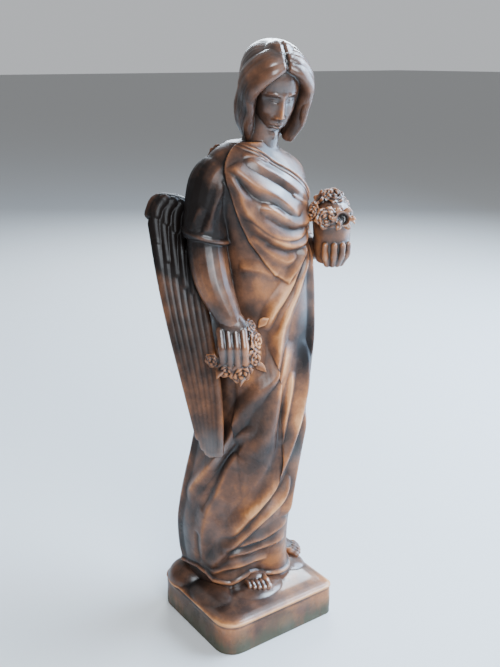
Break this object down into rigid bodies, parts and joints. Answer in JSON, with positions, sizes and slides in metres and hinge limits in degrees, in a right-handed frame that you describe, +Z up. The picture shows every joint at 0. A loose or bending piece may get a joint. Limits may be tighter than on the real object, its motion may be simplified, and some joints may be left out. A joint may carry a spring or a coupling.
{
  "type": "garden angel statue",
  "caption": "Standing robed angel with folded wings, a posy in one hand and a flower pot in the other, cast in one with a square plinth.",
  "frame": {"origin": "centre of the plinth's underside", "axes": "+Z up, -Y the figure's front, +X towards the figure's left hand"},
  "size_m": [0.3434, 0.2715, 1.2045],
  "materials": {
    "patinated_stone": "satin"
  },
  "bodies": {
    "root": {"angel_statue": "patinated_stone"}
  },
  "joints": []
}
